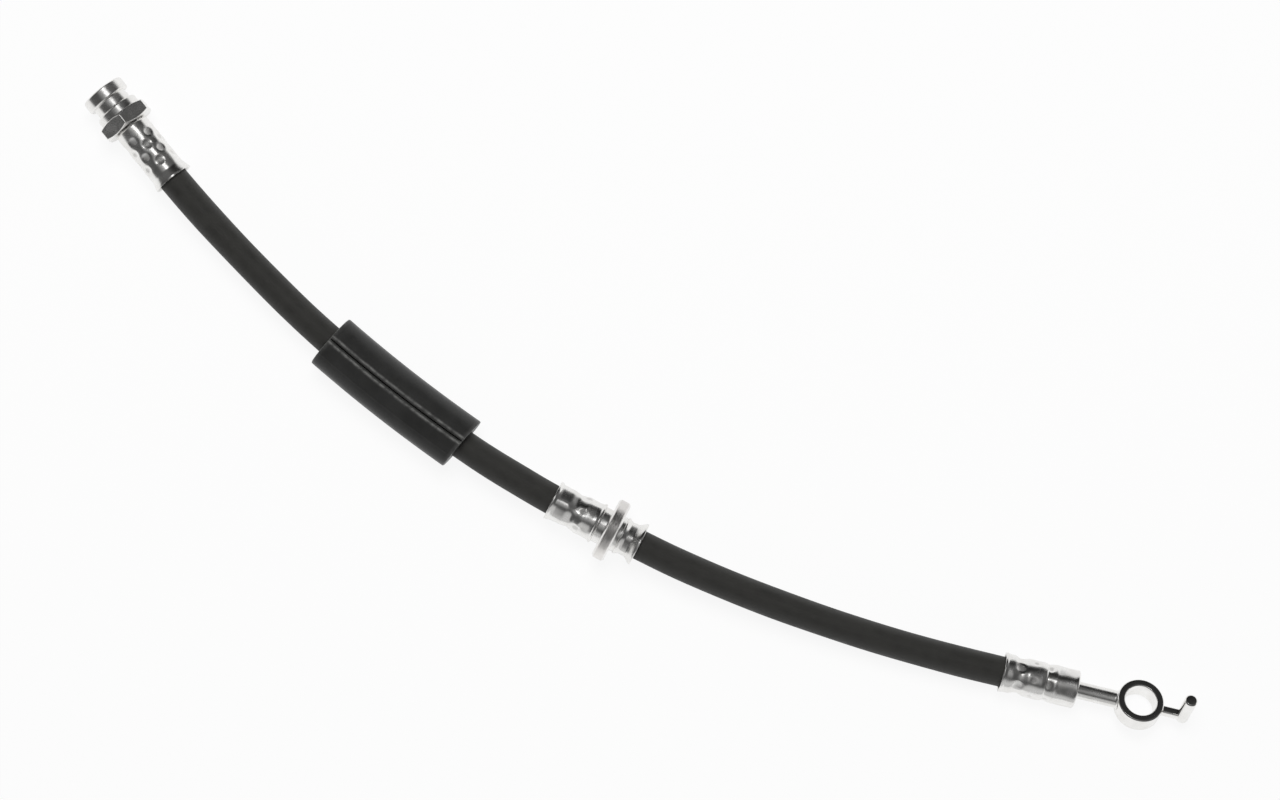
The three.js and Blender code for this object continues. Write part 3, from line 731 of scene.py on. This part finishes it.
def make_locating_pin():
    top = EYE_THICKNESS / 2 + PIN_ABOVE_FACE
    outline = eased([
        [-PIN_FOOT, 0.02], [-PIN_FOOT, PIN_RADIUS - EDGE], [EDGE - PIN_FOOT, PIN_RADIUS],
        [top - EDGE, PIN_RADIUS], [top, PIN_RADIUS - EDGE], [top, 0.02],
    ], 0.14, looped=False)
    points, faces = lathe(outline, 96, looped=False)
    pin = about_eye(points) + np.array([PIN_REACH, 0, 0]), faces
    rim = EYE_CENTRE + EYE_RADIUS
    far = EYE_CENTRE + PIN_REACH
    rod = [[x, BAR_RADIUS] for x in np.linspace(rim - 0.5, rim + 1.6, 24)]
    rod += [[x, BAR_RADIUS] for x in np.linspace(rim + 1.7, far, 8)]
    outline = np.vstack([[[rim - 0.3, 0.02]], rod, [[far, 0.02]]])
    bar = lathe(outline, 72, brazed(BAR_RADIUS, True, 0.6, 5), looped=False)
    return flat_shaded(add_mesh("hooked_locating_pin", *joined(pin, bar), banjo_place))


banjo_ferrule = make_banjo_ferrule()
banjo_neck = make_banjo_neck()
banjo_eye = make_banjo_eye()
locating_pin = make_locating_pin()

# Riding on the frame

PIECES = {
    "hose": (hose, "hose_rubber"),
    "protective_sleeve": (sleeve, "sleeve_rubber"),
    "port_ferrule": (port_ferrule, "zinc_plated_steel"),
    "port_fitting": (port_fitting, "zinc_plated_steel"),
    "bracket_collar": (bracket_collar, "zinc_plated_steel"),
    "banjo_ferrule": (banjo_ferrule, "zinc_plated_steel"),
    "banjo_neck": (banjo_neck, "zinc_plated_steel"),
    "banjo_eye": (banjo_eye, "zinc_plated_steel"),
    "locating_pin": (locating_pin, "zinc_plated_steel"),
}
for node, (piece, slot) in PIECES.items():
    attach(piece, "root")
    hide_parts(node)

# Materials


class Nodes:
    """A short way to add and join shader nodes."""

    def __init__(self, tree):
        self.tree = tree
        tree.nodes.clear()

    def add(self, kind, inputs=None, **settings):
        node = self.tree.nodes.new(kind)
        for key, value in settings.items():
            setattr(node, key, value)
        for key, value in (inputs or {}).items():
            if isinstance(value, bpy.types.NodeSocket):
                self.tree.links.new(value, node.inputs[key])
            else:
                node.inputs[key].default_value = value
        return node

    def ramp(self, value, stops):
        node = self.add("ShaderNodeValToRGB", {0: value})
        ramp = node.color_ramp
        while len(ramp.elements) < len(stops):
            ramp.elements.new(0.5)
        for element, (place, color) in zip(ramp.elements, stops):
            element.position = place
            element.color = (*color, 1) if len(color) == 3 else (*color * 3, 1)
        return node.outputs[0]

    def math(self, operation, *values):
        inputs = dict(enumerate(values))
        return self.add("ShaderNodeMath", inputs, operation=operation).outputs[0]

    def spread(self, value, lowest, highest):
        """A noise's usual range, stretched to the range from lowest to highest."""
        inputs = {0: value, 1: 0.3, 2: 0.7, 3: lowest, 4: highest}
        return self.add("ShaderNodeMapRange", inputs).outputs[0]

    def noise(self, vector, scale, detail=3.0, roughness=0.5):
        return self.add(
            "ShaderNodeTexNoise",
            {"Vector": vector, "Scale": scale, "Detail": detail, "Roughness": roughness},
        ).outputs[0]

    def stretched(self, vector, scale):
        return self.add("ShaderNodeMapping", {"Vector": vector, "Scale": scale}).outputs[0]


def new_material(name):
    material = bpy.data.materials.new(name)
    material.use_nodes = True
    return material, Nodes(material.node_tree)


SCUFFED_ROUGHNESS = 0.52


def zinc(name, smoothest, roughest, marks, grooves=0.5,
         dark=(0.83, 0.82, 0.8), light=(0.93, 0.925, 0.91)):
    """Bright zinc plate over turned steel: fine tool rings, faint clouding and small marks.

    It has its least and greatest roughness, the strength of its marks, how much of them are
    the tool's grooves, and its two colours.
    """
    material, n = new_material(name)
    place = n.add("ShaderNodeTexCoord").outputs["Object"]
    clouds = n.noise(place, 260, 4)
    grains = n.noise(place, 2600, 2)
    rings = n.noise(n.stretched(place, (5200, 60, 60)), 1, 2, 0.6)
    color = n.ramp(clouds, [(0.32, dark), (0.68, light)])
    rough = n.spread(clouds, smoothest, roughest)
    # The crimping jaws leave the bottoms of their marks scuffed.
    scuffed = n.add("ShaderNodeAttribute", attribute_name="jaw_mark").outputs["Fac"]
    rough = n.math("MAXIMUM", rough, n.math("MULTIPLY", scuffed, SCUFFED_ROUGHNESS))
    height = n.math("ADD", n.math("MULTIPLY", rings, grooves), n.math("MULTIPLY", grains, 0.35))
    height = n.math("ADD", height, n.math("MULTIPLY", clouds, 0.6))
    bump = n.add("ShaderNodeBump", {"Strength": marks, "Distance": 0.00006, "Height": height})
    shader = n.add("ShaderNodeBsdfPrincipled", {
        "Base Color": color, "Metallic": 1.0, "Roughness": rough, "Normal": bump.outputs[0],
    })
    n.add("ShaderNodeOutputMaterial", {"Surface": shader.outputs[0]})
    return material


def hose_rubber():
    """Cured hose cover: charcoal, satin, with fine wrap lines and a little dust."""
    material, n = new_material("hose_cover_rubber")
    place = n.add("ShaderNodeAttribute", attribute_name="hose_place").outputs["Vector"]
    grain = n.noise(place, 5, 4, 0.6)
    wide = n.noise(place, 0.22, 3)
    wrap = n.noise(n.stretched(place, (0.35, 3.2, 3.2)), 1, 3, 0.6)
    patches = n.math("ADD", n.math("MULTIPLY", wide, 0.6), n.math("MULTIPLY", wrap, 0.4))
    color = n.ramp(patches, [(0.3, (0.0255, 0.025, 0.0232)), (0.7, (0.039, 0.0383, 0.0355))])
    rough = n.spread(wide, 0.5, 0.64)
    height = n.math("ADD", n.math("MULTIPLY", grain, 0.5), n.math("MULTIPLY", wrap, 0.6))
    bump = n.add("ShaderNodeBump", {"Strength": 0.35, "Distance": 0.00012, "Height": height})
    shader = n.add("ShaderNodeBsdfPrincipled", {
        "Base Color": color, "Roughness": rough, "Normal": bump.outputs[0],
        "Specular IOR Level": 0.45,
    })
    n.add("ShaderNodeOutputMaterial", {"Surface": shader.outputs[0]})
    return material


# The paler colour of the painted highlight on the sleeve's lips and end rims
PAINTED_HIGHLIGHT_RUBBER = (0.17, 0.17, 0.165, 1)


def sleeve_rubber():
    """Extruded sleeve: black, with a painted highlight that makes its lips and end rims paler.
    """
    material, n = new_material("sleeve_extruded_rubber")
    place = n.add("ShaderNodeTexCoord").outputs["Object"]
    grain = n.noise(place, 4200, 3, 0.6)
    wide = n.noise(place, 140, 3)
    color = n.ramp(wide, [(0.3, (0.024, 0.024, 0.0234)), (0.7, (0.033, 0.033, 0.0322))])
    # The painted highlight on the lips and end rims, broken up by noise
    painted_highlight = n.add("ShaderNodeAttribute", attribute_name="sleeve_painted_highlight").outputs["Fac"]
    painted_highlight_breakup = n.ramp(n.noise(place, 420, 4), [(0.35, (0.25,)), (0.6, (1.0,))])
    painted_highlight = n.math("MULTIPLY", painted_highlight, painted_highlight_breakup)
    color = n.add("ShaderNodeMixRGB", {0: painted_highlight, 1: color, 2: PAINTED_HIGHLIGHT_RUBBER}).outputs[0]
    rough = n.spread(wide, 0.3, 0.4)
    bump = n.add("ShaderNodeBump", {"Strength": 0.2, "Distance": 0.0001, "Height": grain})
    shader = n.add("ShaderNodeBsdfPrincipled", {
        "Base Color": color, "Roughness": rough, "Normal": bump.outputs[0],
        "Specular IOR Level": 0.2,
    })
    n.add("ShaderNodeOutputMaterial", {"Surface": shader.outputs[0]})
    return material


MATERIALS = {
    "zinc_plated_steel": zinc("bright_zinc_plate", 0.2, 0.3, 0.08),
    "hose_rubber": hose_rubber(),
    "sleeve_rubber": sleeve_rubber(),
}
POLISHED = zinc("polished_zinc_plate", 0.09, 0.15, 0.04)
TURNED = zinc("turned_zinc_plate", 0.3, 0.36, 0.9, 2.5, (0.74, 0.72, 0.7), (0.89, 0.87, 0.85))
for piece, slot in PIECES.values():
    piece.data.materials.clear()
    piece.data.materials.append(MATERIALS[slot])
for piece in (banjo_eye, locating_pin):
    piece.data.materials[0] = POLISHED
# The flange's rim, without its bevels, shows the grooves of its turning.
bracket_collar.data.materials.append(TURNED)
for face in bracket_collar.data.polygons:
    if math.hypot(face.center.y, face.center.z) > (FLANGE_RADIUS - 0.15) * MM:
        face.material_index = 1

# Floor, light and world

# The direction that is up in the picture
IMAGE_UP = (-0.488, 0.873)
LAMP_DISTANCE = 1.9


def seen(n, by_camera, by_gloss):
    """How much of the plain white the camera sees, and how much gloss and glass see."""
    path = n.add("ShaderNodeLightPath").outputs
    gloss = n.math("MAXIMUM", path["Is Glossy Ray"], path["Is Transmission Ray"])
    gloss = n.math("MULTIPLY", gloss, by_gloss)
    return n.math("MAXIMUM", n.math("MULTIPLY", path["Is Camera Ray"], by_camera), gloss)


def make_floor():
    mesh = bpy.data.meshes.new("floor")
    half, level = 6, -0.0002
    corners = [(x * half, y * half, level) for x, y in ((-1, -1), (1, -1), (1, 1), (-1, 1))]
    mesh.from_pydata(corners, [], [(0, 1, 2, 3)])
    floor = bpy.data.objects.new("floor", mesh)
    scene.collection.objects.link(floor)
    material, n = new_material("white_table")
    paper = n.add("ShaderNodeBsdfDiffuse", {"Color": (0.95, 0.95, 0.95, 1)})
    white = n.add("ShaderNodeEmission", {"Color": (1, 1, 1, 1), "Strength": 1.0})
    share = seen(n, 0.9, 0.72)
    mixed = n.add("ShaderNodeMixShader", {0: share, 1: paper.outputs[0], 2: white.outputs[0]})
    n.add("ShaderNodeOutputMaterial", {"Surface": mixed.outputs[0]})
    mesh.materials.append(material)


def make_softbox(name, tilt, size, power, in_gloss=True):
    """A square lamp that faces the part, tilted from the zenith to the picture's upper side."""
    lamp = bpy.data.lights.new(name, "AREA")
    lamp.shape = "SQUARE"
    lamp.size = size
    lamp.energy = power
    box = bpy.data.objects.new(name, lamp)
    sine = math.sin(tilt)
    away = Vector((sine * IMAGE_UP[0], sine * IMAGE_UP[1], math.cos(tilt)))
    box.location = away * LAMP_DISTANCE
    box.rotation_euler = away.to_track_quat("Z", "Y").to_euler()
    box.visible_glossy = in_gloss
    scene.collection.objects.link(box)


ROOM_LEVEL = 4.0


def make_world():
    world = bpy.data.worlds.new("studio")
    scene.world = world
    world.use_nodes = True
    n = Nodes(world.node_tree)
    direction = n.add("ShaderNodeTexCoord").outputs["Generated"]
    height = n.add("ShaderNodeSeparateXYZ", {0: direction}).outputs["Z"]
    # The room is dim above the table's edge and brighter overhead. Its near side has a pale
    # wall, and it is darkest past the table's far side.
    room = n.ramp(height, [
        (0.0, (0.9,)), (0.1, (0.7,)), (0.2, (0.08,)), (0.88, (0.065,)), (0.95, (0.15,)),
        (1.0, (0.3,)),
    ])
    far_side = n.add(
        "ShaderNodeVectorMath", {0: direction, 1: (*IMAGE_UP, 0)}, operation="DOT_PRODUCT"
    ).outputs["Value"]
    across = n.add("ShaderNodeMapRange", {0: far_side, 1: -1.0, 2: 1.0}).outputs[0]
    shade = n.ramp(across, [
        (0.2, (0.26,)), (0.5, (0.3,)), (0.78, (0.42,)), (0.87, (0.12,)), (0.93, (0.04,)),
    ])
    near_wall = n.ramp(across, [(0.08, (0.5,)), (0.15, (0.38,)), (0.2, (0.0,))])
    near_wall = n.math("MULTIPLY", near_wall, n.ramp(height, [(0.15, (0.2,)), (0.3, (1.0,))]))
    studio = n.math("MULTIPLY", n.math("MULTIPLY", room, shade), ROOM_LEVEL)
    studio = n.math("ADD", studio, near_wall)
    camera_ray = n.add("ShaderNodeLightPath").outputs["Is Camera Ray"]
    dim = n.add("ShaderNodeBackground", {"Color": studio, "Strength": 1.0})
    white = n.add("ShaderNodeBackground", {"Color": (1, 1, 1, 1), "Strength": 1.0})
    backgrounds = {0: camera_ray, 1: dim.outputs[0], 2: white.outputs[0]}
    mixed = n.add("ShaderNodeMixShader", backgrounds)
    n.add("ShaderNodeOutputWorld", {"Surface": mixed.outputs[0]})


make_floor()
make_softbox("softbox", math.radians(22), 0.9, 25, in_gloss=False)
make_softbox("small_softbox", math.radians(20), 0.5, 1.6)
make_world()
scene.view_settings.view_transform = "Standard"
